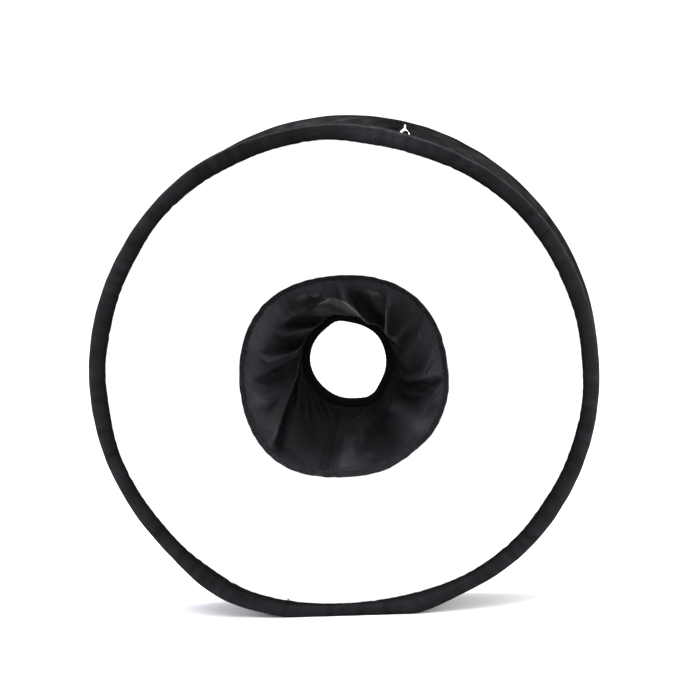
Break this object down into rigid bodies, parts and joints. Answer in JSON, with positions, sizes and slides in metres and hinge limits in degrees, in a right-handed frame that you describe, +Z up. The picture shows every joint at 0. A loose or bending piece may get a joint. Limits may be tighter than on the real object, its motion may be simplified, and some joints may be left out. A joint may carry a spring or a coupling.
{
  "type": "collapsible ring softbox",
  "caption": "Round fabric softbox on spring-steel hoops, with a white front diffuser, a black lens tunnel through the middle and a flash sleeve behind.",
  "frame": {"origin": "on the ground under the middle of the whole depth, below the hoops' centres", "axes": "+Z up, the white diffuser faces -Y, the flash sleeve stands out towards +Y, +X is to the right seen from the front"},
  "size_m": [0.4545, 0.1074, 0.4443],
  "materials": {
    "black_tape": "matt black twill binding",
    "black_nylon": "thin black nylon with a faint satin sheen",
    "white_diffuser": "fine matt white cloth of the diffuser and the wall's lining",
    "silver_cloth": "silver-coated lining cloth",
    "foam": "thin closed-cell foam",
    "spring_steel": "flat spring steel",
    "elastic": "round elastic cord",
    "hook_and_loop": "black hook-and-loop tape"
  },
  "bodies": {
    "rear_ring": {"rear_hoop": "spring_steel", "rear_hoop_ferrule": "spring_steel", "rear_rim_binding": "black_tape", "rear_panel": "black_nylon", "rear_lining": "silver_cloth", "side_wall": "black_nylon", "wall_stiffener": "foam", "side_wall_lining": "white_diffuser", "slit_edge_right": "black_tape", "slit_edge_left": "black_tape", "lens_tunnel": "black_nylon", "tunnel_lining": "silver_cloth", "tunnel_seam_tape": "black_nylon", "tunnel_rear_hem": "black_nylon", "lens_elastic": "elastic", "port_facing": "black_nylon", "flash_sleeve": "black_nylon", "sleeve_mouth_hem": "black_tape", "flash_strap": "black_tape", "strap_loop_patch": "hook_and_loop"},
    "front_ring": {"front_hoop": "spring_steel", "front_hoop_ferrule": "spring_steel", "front_rim_binding": "black_tape", "front_diffuser": "white_diffuser", "tunnel_front_hem": "black_nylon"},
    "pull_tab": {"pull_tab": "black_tape"},
    "strap_tail": {"strap_tail": "black_tape", "strap_hook_patch": "hook_and_loop"}
  },
  "joints": [
    {"name": "flatten", "type": "slide", "parent": "rear_ring", "child": "front_ring", "axis": [0, 1, 0], "range_m": [0, 0.046], "stiffness_N_per_m": 20, "deforming": ["side_wall", "wall_stiffener", "side_wall_lining", "slit_edge_right", "slit_edge_left", "lens_tunnel", "tunnel_lining", "tunnel_seam_tape"]},
    {"name": "pull_tab_fold", "type": "hinge", "parent": "front_ring", "child": "pull_tab", "pos_m": [0.0696, -0.0462, 0.4226], "axis": [-0.9475, 0, 0.3199], "range_deg": [0, 85], "stiffness_Nm_per_rad": 0.003},
    {"name": "strap_peel", "type": "hinge", "parent": "rear_ring", "child": "strap_tail", "pos_m": [-0.033, 0.0357, 0.383], "axis": [0, -1, 0], "range_deg": [0, 150]}
  ]
}
